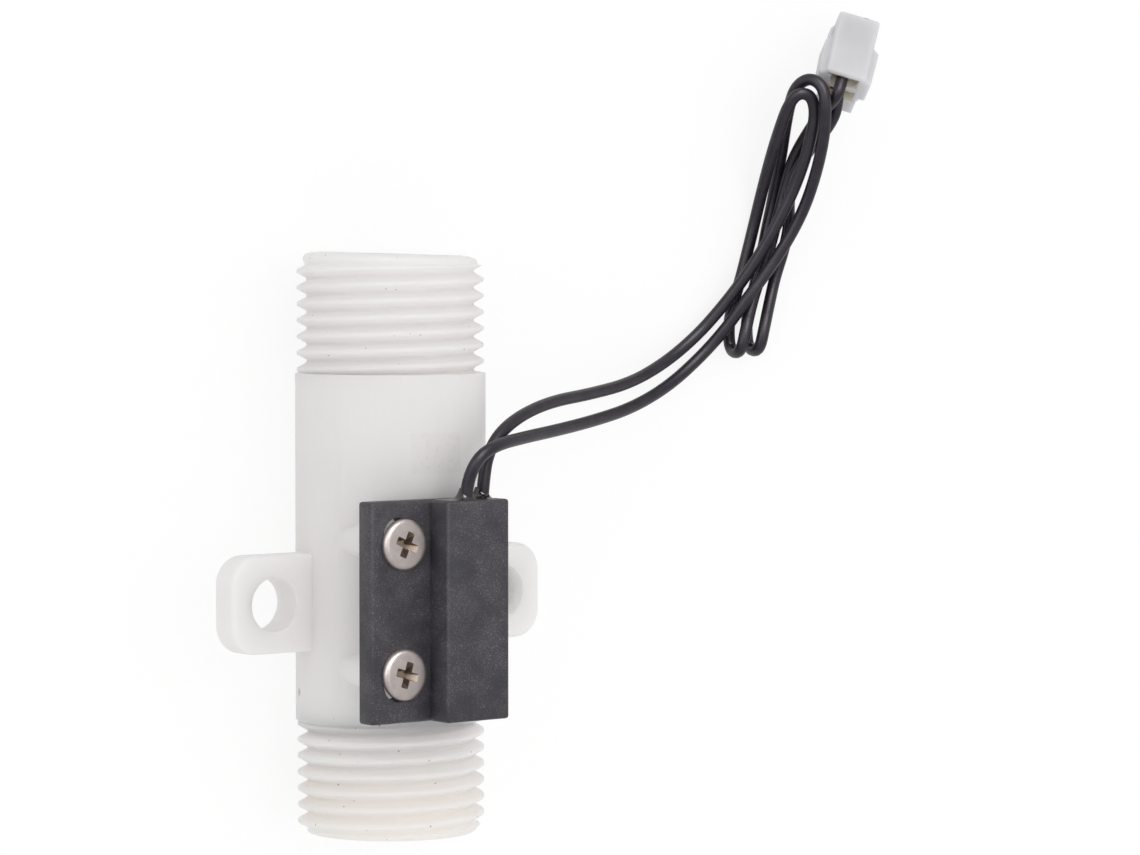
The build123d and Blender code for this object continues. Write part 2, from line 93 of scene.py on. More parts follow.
# %% Points of both wires, in millimetres
front_points = [
    (5.1, 1.4, 24.5), (5.1, 4.4, 24.6), (5.2, 7.4, 24.9), (6.2, 10.0, 25.6), (8.7, 11.3, 24.5),
    (13.1, 11.9, 20.9), (18.2, 12.4, 16.4), (24.3, 13.2, 11.4), (30.5, 14.4, 6.8), (36.2, 16.7, 3.2),
    (40.7, 20.0, 1.7), (43.6, 23.4, 2.6), (45.7, 26.8, 3.8), (48.2, 30.1, 4.1), (50.4, 33.6, 4.8),
    (52.1, 37.4, 5.8), (52.9, 41.6, 7.5), (53.0, 45.7, 9.6), (52.7, 49.0, 10.7), (52.5, 51.2, 10.4),
    (51.4, 52.3, 9.2), (50.2, 51.4, 7.7), (50.0, 49.2, 6.1), (50.1, 46.5, 4.5), (50.3, 43.7, 2.9),
    (50.3, 40.8, 1.4), (50.0, 38.1, 0.8), (49.4, 35.2, 0.7), (48.8, 32.3, 0.7), (48.1, 29.2, 0.7),
    (47.2, 26.1, 0.7), (46.7, 23.6, 0.8), (47.0, 20.8, 0.8), (47.2, 20.7, 3.9), (47.8, 23.6, 4.0),
    (49.0, 26.4, 2.5), (49.9, 29.3, 1.9), (50.8, 32.2, 2.2), (51.2, 35.2, 3.1), (50.9, 37.9, 3.7),
    (51.0, 40.3, 4.1), (51.9, 42.5, 4.9), (53.0, 44.4, 5.5), (54.1, 45.8, 6.1), (54.8, 47.0, 6.7),
    (55.2, 48.2, 7.4), (55.3, 49.5, 7.75), (55.6, 50.9, 7.3), (56.2, 52.5, 6.5),
]
rear_points = [
    (7.5, 1.4, 22.7), (7.5, 4.4, 22.8), (7.6, 7.2, 23.1), (8.1, 10.0, 22.8), (9.9, 12.4, 21.5),
    (13.2, 14.3, 19.2), (18.0, 15.6, 15.4), (24.0, 16.2, 10.9), (30.4, 17.2, 6.3), (35.9, 19.4, 2.9),
    (40.3, 22.5, 1.6), (43.1, 25.7, 2.2), (45.4, 28.8, 2.9), (47.5, 32.2, 3.7), (49.3, 35.9, 4.7),
    (50.8, 39.6, 5.8), (51.7, 43.4, 7.2), (52.1, 46.5, 8.3), (52.1, 48.7, 8.9), (51.3, 50.3, 9.4),
    (49.7, 50.5, 9.4), (48.9, 48.9, 8.3), (48.6, 46.6, 6.8), (48.4, 44.0, 5.0), (48.2, 41.2, 3.4),
    (48.0, 38.3, 1.9), (47.6, 35.2, 0.9), (46.9, 32.2, 0.7), (46.1, 29.2, 0.7), (45.2, 26.4, 0.7),
    (44.5, 23.7, 0.8), (44.7, 20.6, 0.8), (44.9, 20.5, 3.9), (45.5, 23.3, 4.0), (46.6, 25.7, 2.6),
    (47.4, 27.9, 2.2), (48.3, 30.4, 2.3), (49.2, 33.0, 2.2), (50.0, 35.6, 2.0), (50.6, 37.9, 2.1),
    (51.0, 40.2, 2.6), (51.4, 42.6, 3.3), (52.1, 44.6, 4.2), (52.8, 46.3, 5.3), (53.3, 47.6, 6.3),
    (53.6, 48.4, 7.5), (53.95, 49.3, 9.0), (54.35, 50.3, 10.1), (54.9, 51.5, 9.85), (55.8, 53.3, 8.7),
]


# %% A wire from its points
wire_radius = 0.7


def make_wire(name, points):
    """A round wire on a NURBS curve that its points guide."""
    curve = bpy.data.curves.new(name, "CURVE")
    curve.dimensions = "3D"
    line = curve.splines.new("NURBS")
    line.points.add(len(points) - 1)
    for knot, place in zip(line.points, points, strict=True):
        knot.co = (*metres(place), 1.0)
    line.order_u = 3
    line.use_endpoint_u = True
    curve.resolution_u = 10
    curve.bevel_depth = wire_radius * MM
    curve.bevel_resolution = 5
    curve.use_fill_caps = True
    wire = bpy.data.objects.new(name, curve)
    bpy.context.scene.collection.objects.link(wire)
    return wire


front_wire = make_wire("front_wire", front_points)
rear_wire = make_wire("rear_wire", rear_points)
print("wire points:", len(front_points), len(rear_points))

# %% [markdown]
# ## How pieces are made and placed
# The block, its screws and the ears were drawn upright on a bench and then rolled about the tube's
# axis, because the sensor lies on its tube and one ear. Pieces below are shaped the same way: upright
# first, and laid down by one transform of their mesh. The object itself stays at the origin.

# %% The lie of the sensor, and a finished piece from a bmesh
tube_axis = Vector((0.65, 0.0, 10.6)) * MM
lie = Matrix.Translation(tube_axis) @ Matrix.Rotation(math.radians(19.883), 4, "Y")


def finish_piece(name, bm, sharp_degrees=32.0):
    """A mesh object from a bmesh: smooth faces, sharp where it folds by more than the angle."""
    for face in bm.faces:
        face.smooth = True
    for edge in bm.edges:
        edge.smooth = not edge.is_manifold or edge.calc_face_angle(0.0) < math.radians(sharp_degrees)
    mesh = bpy.data.meshes.new(name)
    bm.to_mesh(mesh)
    bm.free()
    piece = bpy.data.objects.new(name, mesh)
    bpy.context.scene.collection.objects.link(piece)
    print(name, "faces:", len(mesh.polygons))
    return piece


def carve(piece, cutter, operation="DIFFERENCE"):
    """Takes a cutter's shape out of a piece, or unites the two with "UNION", and removes the cutter."""
    step = piece.modifiers.new("carve", "BOOLEAN")
    step.operation = operation
    step.solver = "EXACT"
    step.object = cutter
    bpy.context.view_layer.update()
    shown = piece.evaluated_get(bpy.context.evaluated_depsgraph_get())
    carved = bmesh.new()
    carved.from_mesh(shown.to_mesh())
    shown.to_mesh_clear()
    piece.modifiers.clear()
    carved.to_mesh(piece.data)
    carved.free()
    used_up = cutter.data
    bpy.data.objects.remove(cutter)
    bpy.data.meshes.remove(used_up)


def take_mesh(blank):
    """The mesh of a blank as a bmesh, and the blank itself is removed."""
    bm = bmesh.new()
    bm.from_mesh(blank.data)
    bpy.data.objects.remove(blank)
    return bm


def chain(bm, places):
    """A line of corners joined by edges, from places in millimetres."""
    corners = [bm.verts.new(metres(place)) for place in places]
    for one, two in zip(corners, corners[1:]):
        bm.edges.new((one, two))
    return corners


def pull(bm, faces, by):
    """Extrudes faces along a vector in millimetres, to a closed form."""
    pulled = bmesh.ops.extrude_face_region(bm, geom=faces)["geom"]
    moved = [v for v in pulled if isinstance(v, bmesh.types.BMVert)]
    bmesh.ops.translate(bm, verts=moved, vec=metres(by))
    bmesh.ops.recalc_face_normals(bm, faces=bm.faces)


# %% Sizes that several pieces share, in millimetres on the bench
block_low, block_high = -18.68, 5.38
plate_top = 13.15
pocket_left, pocket_right, pocket_low, pocket_high, pocket_floor = -3.29, 3.11, 11.85, 15.6, -17.48
screw_x = -7.95
upper_screw_y, lower_screw_y = 0.7, -13.4
print("block's length:", round(block_high - block_low, 2))
print("from screw to screw:", round(upper_screw_y - lower_screw_y, 2))

# %% [markdown]
# ## The tube and its pipe threads
# The solid model carries the thread's section as plain rings. On the real moulding it is a helix of
# 14 turns to the inch, right-handed, so its crests climb as they go round. The middle of the solid is
# kept, both threaded ends are cut off, and new ends are made from one short outline: spin turns it
# round the axis, and a small push along the axis at each step makes the helix.

# %% Sizes of the threads, in millimetres
pitch = 25.4 / 14
crest_radius, root_radius = 10.4, 9.3
crest_half, groove_half = 0.18, 0.15
steps_a_turn = 96

# %% Sizes of the plain parts of the tube, in millimetres
tube_radius, mouth_radius, chamfer_radius = 10.6, 9.7, 9.25
outlet_bore, inlet_bore, seat_bore = 7.4, 6.8, 4.4
upper_cut, lower_cut = 18.6, -19.5
upper_rim_start, lower_rim_start = 18.7, -19.6
upper_shoulder, lower_shoulder = 18.85, -19.75
upper_thread_end, lower_thread_end = 31.5, -32.3
inlet_end = -32.35
print("length of the kept middle:", round(upper_cut - lower_cut, 2))


def trim(bm, low, high):
    """Cuts a form square at both ends, at two places along the axis."""
    for y, side in ((low, -1), (high, 1)):
        everything = bm.verts[:] + bm.edges[:] + bm.faces[:]
        bmesh.ops.bisect_plane(
            bm, geom=everything, plane_co=(0, y * MM, 0), plane_no=(0, side, 0), clear_outer=True
        )


def keep_middle_of_tube():
    """The solid tube between its two shoulders, its doubled corners merged and its screw holes closed."""
    bm = bmesh.new()
    bm.from_mesh(nodes["flow_body"].data)
    bmesh.ops.remove_doubles(bm, verts=bm.verts, dist=0.002 * MM)
    bench = lie.inverted()
    hole_reach, posts_from = 1.29, 3.0
    in_hole = []
    for face in bm.faces:
        x, y, z = (bench @ face.calc_center_median()) / MM
        away = min(math.hypot(x - screw_x, y - place) for place in (upper_screw_y, lower_screw_y))
        if z > posts_from and away < hole_reach:
            in_hole.append(face)
    bmesh.ops.delete(bm, geom=in_hole, context="FACES")
    rims = [e for e in bm.edges if e.is_boundary]
    closed = bmesh.ops.holes_fill(bm, edges=rims, sides=0)["faces"]
    print("faces taken out of the screw holes:", len(in_hole), "rims closed:", len(closed))
    trim(bm, lower_cut, upper_cut)
    return bm


# %% One thread as a helical strip
def thread_strip(crest_y, crest_angle, turns):
    """A strip of thread that starts with a crest at an angle, and climbs along the axis."""
    bm = bmesh.new()
    half = pitch / 2
    outline = [
        (-half, root_radius), (groove_half - half, root_radius), (-crest_half, crest_radius),
        (crest_half, crest_radius), (half - groove_half, root_radius), (half, root_radius),
    ]
    corners = chain(bm, [(0, y, r) for y, r in outline])
    bmesh.ops.bevel(
        bm, geom=corners[1:-1], offset=0.1 * MM, segments=3, profile=0.5, affect="VERTICES", material=-1
    )
    flanks = [e for e in bm.edges if e.calc_length() > 0.4 * MM]
    bmesh.ops.subdivide_edges(bm, edges=flanks, cuts=3)
    start = Matrix.Translation((0, crest_y * MM, 0)) @ Matrix.Rotation(crest_angle, 4, "Y")
    bmesh.ops.transform(bm, matrix=start, verts=bm.verts)
    bmesh.ops.spin(
        bm, geom=bm.verts[:] + bm.edges[:], cent=(0, 0, 0), axis=(0, 1, 0),
        dvec=(0, pitch * MM / steps_a_turn, 0), angle=2 * math.pi * turns, steps=steps_a_turn * turns,
    )
    bmesh.ops.remove_doubles(bm, verts=bm.verts, dist=0.004 * MM)
    return bm


def limit_radius(bm, rule):
    """Moves each point of a strip in or out to the radius that the rule gives for its place."""
    for point in bm.verts:
        radius = math.hypot(point.co.x, point.co.z)
        wanted = rule(point.co.y / MM, radius / MM) * MM
        point.co.x *= wanted / radius
        point.co.z *= wanted / radius


# %% [markdown]
# The upper thread fades into a plain ring at the tube's mouth, and the lower one is cut by a
# chamfer. Both are plain rules on the radius. The crests' places come from the picture: at the
# tube's left outline the upper crests lie at 30.12 mm and each pitch below it, the lower ones at
# -22.06 mm and each pitch below that.

# %% Both threads
left_outline = math.atan2(-0.9482, -0.3176)


def ease(share):
    """Turns a share from 0 to 1 into one that starts and ends softly."""
    share = min(1.0, max(0.0, share))
    return share * share * (3 - 2 * share)


def upper_rule(y, radius):
    """Fades to the mouth's radius."""
    fade_start, fade_length = 30.55, 0.9
    return radius + (mouth_radius - radius) * ease((y - fade_start) / fade_length)


def lower_rule(y, radius):
    """A chamfer of 45 degrees that starts at the inlet's end."""
    return min(radius, chamfer_radius + (y - inlet_end))


upper_crest, lower_crest = 30.12, -22.06
turns_made, turns_below = 9, 7
upper_thread = thread_strip(upper_crest - turns_below * pitch, left_outline, turns_made)
limit_radius(upper_thread, upper_rule)
trim(upper_thread, upper_shoulder, upper_thread_end)
lower_thread = thread_strip(lower_crest - turns_below * pitch, left_outline, turns_made)
limit_radius(lower_thread, lower_rule)
trim(lower_thread, lower_thread_end, lower_shoulder)
print("thread faces:", len(upper_thread.faces), len(lower_thread.faces))


# %% [markdown]
# What is left of each end is plain turned work: the shoulder's rim, the mouth and the bore with the
# piston's seat. Each is a chain of points spun once round, and bridges close the rings between them.

# %% Turned rings
def turned_ring(points):
    """A shell turned about the axis from (radius, y) points in millimetres."""
    bm = bmesh.new()
    chain(bm, [(0, y, r) for r, y in points])
    bmesh.ops.spin(
        bm, geom=bm.verts[:] + bm.edges[:], cent=(0, 0, 0), axis=(0, 1, 0),
        angle=2 * math.pi, steps=steps_a_turn, use_merge=True,
    )
    return bm


upper_rim = turned_ring([
    (tube_radius, upper_rim_start), (tube_radius, 18.75), (10.57, 18.82), (10.5, upper_shoulder),
])
upper_mouth = turned_ring([
    (mouth_radius, 31.52), (9.69, 31.65), (9.64, 31.82), (9.52, 31.97), (9.32, 32.09), (8.95, 32.2),
    (8.5, 32.28), (8.1, 32.33), (7.75, 32.35), (7.56, 32.32), (7.44, 32.22),
    (outlet_bore, 32.05), (outlet_bore, upper_rim_start),
])
lower_rim = turned_ring([
    (tube_radius, lower_rim_start), (tube_radius, -19.65), (10.57, -19.72), (10.5, lower_shoulder),
])
lower_mouth = turned_ring([
    (9.24, -32.34), (9.15, inlet_end), (7.0, inlet_end), (6.87, -32.3), (inlet_bore, -32.15),
    (inlet_bore, -27.0), (seat_bore, -27.0), (seat_bore, -25.0),
    (inlet_bore, -25.0), (inlet_bore, lower_rim_start),
])
print("turned rings, in points:", [len(r.verts) for r in (upper_rim, upper_mouth, lower_rim, lower_mouth)])


# %% Join the tube
def open_ring(bm, y, low, high):
    """The open edges that run round the tube's axis at y, between two radii."""
    def on_ring(point):
        radius = math.hypot(point.co.x - tube_axis.x, point.co.z - tube_axis.z) / MM
        return abs(point.co.y / MM - y) < 0.004 and low < radius < high
    return [e for e in bm.edges if e.is_boundary and all(on_ring(v) for v in e.verts)]


tube = keep_middle_of_tube()
for part in (upper_thread, lower_thread, upper_rim, upper_mouth, lower_rim, lower_mouth):
    bmesh.ops.transform(part, matrix=Matrix.Translation(tube_axis), verts=part.verts)
    holder = bpy.data.meshes.new("holder")
    part.to_mesh(holder)
    part.free()
    tube.from_mesh(holder)
    bpy.data.meshes.remove(holder)
joins = [
    ((upper_cut, 10.4, 10.8), (upper_rim_start, 10.4, 10.8)),
    ((upper_shoulder, 10.45, 10.55), (upper_shoulder, 9.2, 10.44)),
    ((upper_thread_end, 9.5, 9.9), (31.52, 9.5, 9.9)),
    ((upper_cut, 7.2, 7.6), (upper_rim_start, 7.2, 7.6)),
    ((lower_cut, 10.4, 10.8), (lower_rim_start, 10.4, 10.8)),
    ((lower_shoulder, 10.45, 10.55), (lower_shoulder, 9.2, 10.44)),
    ((lower_thread_end, 9.2, 9.4), (-32.34, 9.1, 9.3)),
    ((lower_cut, 6.6, 7.0), (lower_rim_start, 6.6, 7.0)),
]
for one, two in joins:
    first, second = open_ring(tube, *one), open_ring(tube, *two)
    print("join at", one[0], "edges", len(first), len(second))
    bmesh.ops.bridge_loops(tube, edges=first + second)
bmesh.ops.recalc_face_normals(tube, faces=tube.faces)
print("open edges left:", sum(e.is_boundary for e in tube.edges))

# %% Slant the mouth
# It isn't quite square: towards the camera's right it lies about half a millimetre lower.
mouth_slant, slant_start, slant_length = 0.028, 30.5, 1.2
for point in tube.verts:
    across = (point.co - tube_axis).dot(camera_right) / MM
    lowered = mouth_slant * max(0.0, across + 9.5) * ease((point.co.y / MM - slant_start) / slant_length)
    point.co.y -= lowered * MM
flow_tube = finish_piece("flow_tube", tube)

# %% [markdown]
# ## The sensor block
# A thin plate takes the screws and a thick part holds the switch. It was moulded in black plastic
# with a fine grain, and light catches its slightly rounded edges. The outline is drawn once, pulled
# along the tube, bevelled, and the screw slots and the pocket are carved out.


# %% Block
def make_block():
    """The block's outer form in the bench frame."""
    bm = bmesh.new()
    left, step, right = -12.1, -4.29, 4.11
    foot, top = 10.65, 16.4
    outline = [(left, foot), (right, foot), (right, top), (step, top), (step, plate_top), (left, plate_top)]
    face = bm.faces.new([bm.verts.new(metres((x, block_low, z))) for x, z in outline])
    pull(bm, [face], (0, block_high - block_low, 0))
    inner = [
        e for e in bm.edges
        if all(abs(v.co.x / MM - step) < 0.01 and abs(v.co.z / MM - plate_top) < 0.01 for v in e.verts)
    ]
    outer = [e for e in bm.edges if e not in inner]
    bmesh.ops.bevel(
        bm, geom=outer, offset=0.34 * MM, segments=3, profile=0.5, affect="EDGES", material=-1,
        clamp_overlap=True,
    )
    bmesh.ops.recalc_face_normals(bm, faces=bm.faces)
    return bm


def slot_cutter(y):
    """A bar with round ends, for one screw's slot."""
    slot_x, slot_radius, half_run, lowest, height = -8.55, 1.9, 0.85, 9.0, 8.0
    bm = bmesh.new()
    bmesh.ops.create_circle(bm, cap_ends=True, segments=48, radius=slot_radius * MM)
    for point in bm.verts:
        point.co.y += half_run * MM if point.co.y > 0 else -half_run * MM
    bmesh.ops.translate(bm, verts=bm.verts, vec=metres((slot_x, y, lowest)))
    pull(bm, bm.faces[:], (0, 0, height))
    return finish_piece("slot_cutter", bm)


def box_cutter(low, high):
    """A plain box between two corners in millimetres."""
    bm = bmesh.new()
    bmesh.ops.create_cube(bm, size=1.0)
    size = [b - a for a, b in zip(low, high, strict=True)]
    middle = [(a + b) / 2 for a, b in zip(low, high, strict=True)]
    bmesh.ops.scale(bm, verts=bm.verts, vec=metres(size))
    bmesh.ops.translate(bm, verts=bm.verts, vec=metres(middle))
    return finish_piece("box_cutter", bm)


# %% Carve the block
block_blank = finish_piece("block_blank", make_block())
upper_slot_y, lower_slot_y = 0.9, -13.6
for cutter in (
    slot_cutter(lower_slot_y), slot_cutter(upper_slot_y),
    box_cutter((pocket_left, pocket_floor, pocket_low), (pocket_right, block_high + 1, pocket_high)),
):
    carve(block_blank, cutter)
block_mesh = take_mesh(block_blank)
bmesh.ops.transform(block_mesh, matrix=lie, verts=block_mesh.verts)
sensor_block = finish_piece("sensor_block", block_mesh)

# %% [markdown]
# ## The screws
# Two thin flat-headed screws with a cross recess hold the block. The head is an outline spun round,
# flat in the middle with a small round shoulder. The recess narrows as it goes down, as the driver's
# tip does, so its cutter is a cross of two tapered bars.


# %% Screw
def make_screw(name, y, turn_degrees):
    """One screw, its head seated on the plate."""
    head_height, arm_length, arm_width, arm_depth = 0.85, 4.7, 1.3, 2.4
    bm = bmesh.new()
    outline = [
        (0, head_height), (2.2, 0.84), (2.42, 0.82), (2.56, 0.77), (2.67, 0.68), (2.76, 0.54), (2.82, 0.36),
        (2.83, 0.18), (2.81, 0.06), (2.74, 0), (1.25, 0), (1.25, -7.6), (0.3, -9.2), (0, -9.2),
    ]
    chain(bm, [(r, 0, z) for r, z in outline])
    bmesh.ops.spin(
        bm, geom=bm.verts[:] + bm.edges[:], cent=(0, 0, 0), axis=(0, 0, 1),
        angle=2 * math.pi, steps=64, use_merge=True,
    )
    bmesh.ops.remove_doubles(bm, verts=bm.verts, dist=0.002 * MM)
    bmesh.ops.recalc_face_normals(bm, faces=bm.faces)
    blank = finish_piece("screw_blank", bm)

    for quarter in (0, 90):
        arm = bmesh.new()
        bmesh.ops.create_cube(arm, size=1.0)
        bmesh.ops.scale(arm, verts=arm.verts, vec=metres((arm_length, arm_width, arm_depth)))
        foot = [v for v in arm.verts if v.co.z < 0]
        bmesh.ops.scale(arm, verts=foot, vec=(0.24, 0.4, 1.0))
        upright = [e for e in arm.edges if abs(e.verts[0].co.z - e.verts[1].co.z) > 0.5 * MM]
        bmesh.ops.bevel(
            arm, geom=upright, offset=0.12 * MM, segments=2, profile=0.5, affect="EDGES", material=-1
        )
        bmesh.ops.translate(arm, verts=arm.verts, vec=(0, 0, head_height * MM))
        bmesh.ops.rotate(
            arm, verts=arm.verts, cent=(0, 0, 0),
            matrix=Matrix.Rotation(math.radians(turn_degrees + quarter), 3, "Z"),
        )
        carve(blank, finish_piece("recess_cutter", arm))
    screw = take_mesh(blank)
    # Faces in the recess are marked, so that the finish can paint them darker as painted shade.
    inside = screw.faces.layers.float.new("inside")
    recess_reach, recess_low, recess_high = 1.6, -0.5, 0.82
    for face in screw.faces:
        middle = face.calc_center_median() / MM
        near_middle = math.hypot(middle.x, middle.y) < recess_reach
        face[inside] = 1.0 if near_middle and recess_low < middle.z < recess_high else 0.0
    seat = lie @ Matrix.Translation(Vector((screw_x, y, plate_top)) * MM)
    bmesh.ops.transform(screw, matrix=seat, verts=screw.verts)
    return finish_piece(name, screw)


upper_turn, lower_turn = -24, -17
upper_screw = make_screw("upper_screw", upper_screw_y, upper_turn)
lower_screw = make_screw("lower_screw", lower_screw_y, lower_turn)

# %% [markdown]
# ## The epoxy at the wires
# Black epoxy fills the pocket. While it was liquid it crept up both wires, so a small glossy collar
# stands round each one and slopes down to the block's edge. A grid is the simplest start: each of its
# points is raised by how near it is to a wire, and the rim is then pulled down near the pocket's floor.

# %% Epoxy collar
wire_exits = [(-0.5, 14.6), (2.3, 13.7)]


def make_collar():
    """The epoxy's top, a grid raised round both wires, in the bench frame."""
    wall_gap, sunk, wire_reach, foot = 0.02, 0.1, 0.72, -17.4
    level_rise, collar_rise = 0.16, 1.2
    half_long = (pocket_right - pocket_left) / 2 - wall_gap
    half_high = (pocket_high - pocket_low) / 2 - wall_gap
    bm = bmesh.new()
    bmesh.ops.create_grid(bm, x_segments=56, y_segments=36, size=1.0)
    for point in bm.verts:
        x = (pocket_left + pocket_right) / 2 + point.co.x * half_long
        z = (pocket_low + pocket_high) / 2 + point.co.y * half_high
        edge = min(x - pocket_left, pocket_right - x, z - pocket_low, pocket_high - z)
        rise = level_rise * (1 - math.exp(-max(edge, 0.0) / 0.35))
        for wire_x, wire_z in wire_exits:
            away = max(0.0, math.hypot(x - wire_x, z - wire_z) - wire_reach)
            rise += collar_rise * math.exp(-away / 0.3) * (1 - math.exp(-(edge + 0.12) / 0.3))
        point.co = Vector((x, block_high - sunk + rise, z)) * MM
    rim = [e for e in bm.edges if e.is_boundary]
    skirt = bmesh.ops.extrude_edge_only(bm, edges=rim)["geom"]
    low = [v for v in skirt if isinstance(v, bmesh.types.BMVert)]
    for point in low:
        point.co.y = foot * MM
    bmesh.ops.holes_fill(bm, edges=[e for e in bm.edges if e.is_boundary], sides=0)
    bmesh.ops.recalc_face_normals(bm, faces=bm.faces)
    bmesh.ops.transform(bm, matrix=lie, verts=bm.verts)
    return finish_piece("epoxy_collar", bm, 60.0)


epoxy_collar = make_collar()

# %% [markdown]
# ## The plug
# The small white plug has a slim nose, a wider collar at its rear with a ramp at its front, a short rib
# on its left and two openings, one above the other. It lies on the ground with its nose, tilted and
# rolled a little, as the wires hold it. Each form is a loft: the same outline drawn at a few stations
# along the plug and joined. The forms are united, and the openings are carved out last.

# %% Where the plug lies
plug_turn = (
    Matrix.Rotation(math.radians(65.0), 4, "Z")
    @ Matrix.Rotation(math.radians(26.0), 4, "Y")
    @ Matrix.Rotation(math.radians(-18.0), 4, "X")
)
plug_length, nose_half_width, plug_half_height = 8.7, 2.45, 3.7
plug_lowest = min(
    (plug_turn @ Vector((plug_length, side * nose_half_width, -plug_half_height))).z for side in (-1, 1)
)
plug_lie = Matrix.Translation(Vector((55.6, 50.7, -plug_lowest)) * MM) @ plug_turn
print("height of the middle of the plug's rear:", round(-plug_lowest, 2))


def loft(name, stations, soft_edges, width):
    """A closed form through outlines of (y, z) at places along the plug, some edges rounded."""
    bm = bmesh.new()
    rings = [[bm.verts.new(metres((x, y, z))) for y, z in outline] for x, outline in stations]
    for one, two in zip(rings, rings[1:]):
        for i in range(len(one)):
            j = (i + 1) % len(one)
            bm.faces.new((one[i], one[j], two[j], two[i]))
    bm.faces.new(rings[0])
    bm.faces.new(rings[-1])
    bmesh.ops.recalc_face_normals(bm, faces=bm.faces)
    chosen = [e for e in bm.edges if soft_edges((e.verts[0].co + e.verts[1].co) / 2 / MM)]
    bmesh.ops.bevel(
        bm, geom=chosen, offset=width * MM, segments=3, profile=0.5, affect="EDGES", material=-1,
        clamp_overlap=True,
    )
    return finish_piece(name, bm)


def rectangle(half_width, low, high):
    """An outline of (y, z) with square corners."""
    return [(-half_width, low), (half_width, low), (half_width, high), (-half_width, high)]


def collar_outline(half_width):
    """The rear collar: full width at its side, sloping in to the nose's width near the top."""
    low, shoulder, high = -0.6, 2.7, 3.35
    top = min(half_width, 2.3)
    return [
        (-half_width, low), (half_width, low), (half_width, shoulder),
        (top, high), (-top, high), (-half_width, shoulder),
    ]


# %% Plug
plug_body = loft(
    "plug_body",
    [(x, rectangle(nose_half_width, -plug_half_height, plug_half_height)) for x in (0.0, plug_length)],
    lambda middle: True, 0.42,
)
plug_collar = loft(
    "plug_collar",
    [(0.05, collar_outline(3.1)), (4.75, collar_outline(3.2)), (5.35, collar_outline(2.4))],
    lambda middle: middle.x < 0.1, 0.3,
)
plug_rib = loft(
    "plug_rib",
    [(3.8, [(2.15, 0.3), (2.95, 0.4), (2.95, 2.0), (2.15, 2.3)]),
     (7.0, [(2.15, 0.3), (2.9, 0.4), (2.9, 2.0), (2.15, 2.3)]),
     (7.6, [(2.15, 0.4), (2.5, 0.5), (2.5, 1.9), (2.15, 2.1)])],
    lambda middle: False, 0.1,
)

# %% Unite the plug and carve its openings
for side in (-1, 1):
    low, high = sorted((2.2 * side, 3.0 * side))
    carve(plug_body, box_cutter((-1, low, -4.0), (3.0, high, -0.9)))
carve(plug_body, plug_collar, "UNION")
carve(plug_body, plug_rib, "UNION")
opening_depth, half_wide, half_tall, tip_half = 7.4, 1.65, 0.95, 0.55
for level in (-0.35, 2.15):
    near = (-1, -half_wide, level - half_tall)
    far = (opening_depth, half_wide, level + half_tall)
    carve(plug_body, box_cutter(near, far))
    carve(plug_body, box_cutter((7.0, -tip_half, level - tip_half), (9.7, tip_half, level + tip_half)))
carve(plug_body, box_cutter((-1, 1.5, 2.7), (1.2, 2.15, 3.1)))

# %% [markdown]
# The thin walls let light through, and the openings are painted a pale cream inside as painted light
# for it. Each face learns whether it lies in an opening, and the plug's finish reads that attribute.

# %% Mark the faces inside the openings
plug_mesh = take_mesh(plug_body)
inside = plug_mesh.faces.layers.float.new("inside")
mark_near, mark_far, mark_side, mark_low, mark_high = 0.02, 7.6, 1.7, -1.35, 3.2
for face in plug_mesh.faces:
    middle = face.calc_center_median() / MM
    along = mark_near < middle.x < mark_far
    across = abs(middle.y) < mark_side and mark_low < middle.z < mark_high
    face[inside] = 1.0 if along and across else 0.0
print("faces inside the openings:", sum(f[inside] > 0.5 for f in plug_mesh.faces))
bmesh.ops.transform(plug_mesh, matrix=plug_lie, verts=plug_mesh.verts)
small_plug = finish_piece("small_plug", plug_mesh)

# %% [markdown]
# ## Finishes
# Each finish is a small node tree on one Principled shader. Patterns read Object coordinates, which
# are metres here, so a scale of 1000 means one cell to a millimetre. A value that is the same all over
# is typed into the shader itself.


